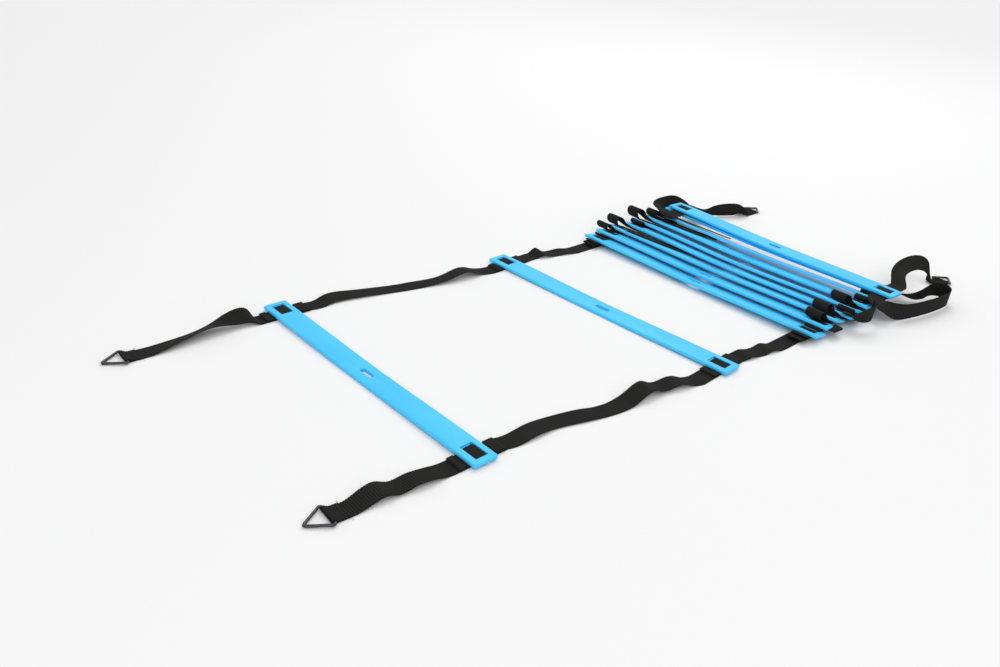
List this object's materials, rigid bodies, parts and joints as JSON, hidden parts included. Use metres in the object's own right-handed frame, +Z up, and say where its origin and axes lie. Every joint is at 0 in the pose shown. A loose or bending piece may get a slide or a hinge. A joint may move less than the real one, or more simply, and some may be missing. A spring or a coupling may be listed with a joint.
{
  "type": "agility ladder",
  "caption": "Footwork training ladder of flat moulded rungs on webbing straps with wire triangle ends, shown partly gathered into a stack.",
  "frame": {"origin": "on the ground, under the middle of the object's box", "axes": "+X along the first rung, +Y along the ladder from the first rung to the gathered stack, +Z up"},
  "size_m": [0.554, 1.2008, 0.0477],
  "materials": {
    "rung_plastic": "satin light blue moulded plastic",
    "strap_webbing": "black woven webbing",
    "coated_wire": "glossy black coated wire"
  },
  "bodies": {
    "stack": {"keeper_03_left": "strap_webbing", "keeper_03_right": "strap_webbing", "keeper_04_left": "strap_webbing", "keeper_04_right": "strap_webbing", "keeper_05_left": "strap_webbing", "keeper_05_right": "strap_webbing", "keeper_06_left": "strap_webbing", "keeper_06_right": "strap_webbing", "keeper_07_left": "strap_webbing", "keeper_07_right": "strap_webbing", "keeper_08_left": "strap_webbing", "keeper_08_right": "strap_webbing", "keeper_09_left": "strap_webbing", "keeper_09_right": "strap_webbing", "keeper_10_left": "strap_webbing", "keeper_10_right": "strap_webbing", "keeper_11_left": "strap_webbing", "keeper_11_right": "strap_webbing", "rung_03": "rung_plastic", "rung_04": "rung_plastic", "rung_05": "rung_plastic", "rung_06": "rung_plastic", "rung_07": "rung_plastic", "rung_08": "rung_plastic", "rung_09": "rung_plastic", "rung_10": "rung_plastic", "rung_11": "rung_plastic", "stack_strap_left": "strap_webbing", "stack_strap_right": "strap_webbing"},
    "near_rung": {"keeper_01_left": "strap_webbing", "keeper_01_right": "strap_webbing", "rung_01": "rung_plastic", "rung_strap_01_left": "strap_webbing", "rung_strap_01_right": "strap_webbing"},
    "second_rung": {"keeper_02_left": "strap_webbing", "keeper_02_right": "strap_webbing", "rung_02": "rung_plastic", "rung_strap_02_left": "strap_webbing", "rung_strap_02_right": "strap_webbing"},
    "bay_1_near": {"bay_1_near_left": "strap_webbing", "bay_1_near_right": "strap_webbing"},
    "bay_1_far": {"bay_1_far_left": "strap_webbing", "bay_1_far_right": "strap_webbing"},
    "bay_2_near": {"bay_2_near_left": "strap_webbing", "bay_2_near_right": "strap_webbing"},
    "bay_2_far": {"bay_2_far_left": "strap_webbing", "bay_2_far_right": "strap_webbing"},
    "near_tail_left": {"near_tail_left": "strap_webbing"},
    "near_ring_left": {"near_ring_left": "coated_wire"},
    "near_tail_right": {"near_tail_right": "strap_webbing"},
    "near_ring_right": {"near_ring_right": "coated_wire"},
    "far_tail_left": {"far_tail_left": "strap_webbing"},
    "far_ring_left": {"far_ring_left": "coated_wire"},
    "far_tail_right": {"far_tail_right": "strap_webbing"},
    "far_ring_right": {"far_ring_right": "coated_wire"}
  },
  "joints": [
    {"name": "bay_2_fold", "type": "hinge", "parent": "stack", "child": "bay_2_far", "pos_m": [0, 0.133, 0.001], "axis": [-1, 0, 0], "range_deg": [0, 80]},
    {"name": "bay_2_crease", "type": "hinge", "parent": "bay_2_far", "child": "bay_2_near", "pos_m": [0, 0.094, 0], "axis": [-1, 0, 0], "range_deg": [-160, 0]},
    {"name": "rung_02_level", "type": "hinge", "parent": "bay_2_near", "child": "second_rung", "pos_m": [0, 0.055, 0.001], "axis": [-1, 0, 0], "range_deg": [0, 80]},
    {"name": "bay_1_fold", "type": "hinge", "parent": "second_rung", "child": "bay_1_far", "pos_m": [0, -0.035, 0.001], "axis": [-1, 0, 0], "range_deg": [0, 80]},
    {"name": "bay_1_crease", "type": "hinge", "parent": "bay_1_far", "child": "bay_1_near", "pos_m": [0, -0.18125, 0], "axis": [-1, 0, 0], "range_deg": [-160, 0]},
    {"name": "rung_01_level", "type": "hinge", "parent": "bay_1_near", "child": "near_rung", "pos_m": [0, -0.3275, 0.001], "axis": [-1, 0, 0], "range_deg": [0, 80]},
    {"name": "near_tail_lift_left", "type": "hinge", "parent": "near_rung", "child": "near_tail_left", "pos_m": [0, -0.4005, 0.001], "axis": [-1, 0, 0], "range_deg": [0, 85]},
    {"name": "near_ring_swing_left", "type": "hinge", "parent": "near_tail_left", "child": "near_ring_left", "pos_m": [-0.25752, -0.574, 0.0029], "axis": [-0.9983, 0.0576, 0], "range_deg": [0, 150]},
    {"name": "near_tail_lift_right", "type": "hinge", "parent": "near_rung", "child": "near_tail_right", "pos_m": [0, -0.4005, 0.001], "axis": [-1, 0, 0], "range_deg": [0, 85]},
    {"name": "near_ring_swing_right", "type": "hinge", "parent": "near_tail_right", "child": "near_ring_right", "pos_m": [0.12148, -0.537, 0.0029], "axis": [-0.9966, 0.0819, 0], "range_deg": [0, 150]},
    {"name": "far_tail_lift_left", "type": "hinge", "parent": "stack", "child": "far_tail_left", "pos_m": [0, 0.4285, 0.02636], "axis": [1, 0, 0], "range_deg": [0, 60]},
    {"name": "far_ring_swing_left", "type": "hinge", "parent": "far_tail_left", "child": "far_ring_left", "pos_m": [-0.14002, 0.574, 0.0029], "axis": [0.9976, 0.0698, 0], "range_deg": [0, 120]},
    {"name": "far_tail_lift_right", "type": "hinge", "parent": "stack", "child": "far_tail_right", "pos_m": [0, 0.4285, 0.02608], "axis": [1, 0, 0], "range_deg": [0, 60]},
    {"name": "far_ring_swing_right", "type": "hinge", "parent": "far_tail_right", "child": "far_ring_right", "pos_m": [0.22948, 0.574, 0.0029], "axis": [0.9994, -0.0349, 0], "range_deg": [0, 120]}
  ],
  "couplings": [
    {"joint": "bay_2_crease", "follows": "bay_2_fold", "ratio": -2},
    {"joint": "rung_02_level", "follows": "bay_2_fold", "ratio": 1},
    {"joint": "bay_1_crease", "follows": "bay_1_fold", "ratio": -2},
    {"joint": "rung_01_level", "follows": "bay_1_fold", "ratio": 1}
  ]
}
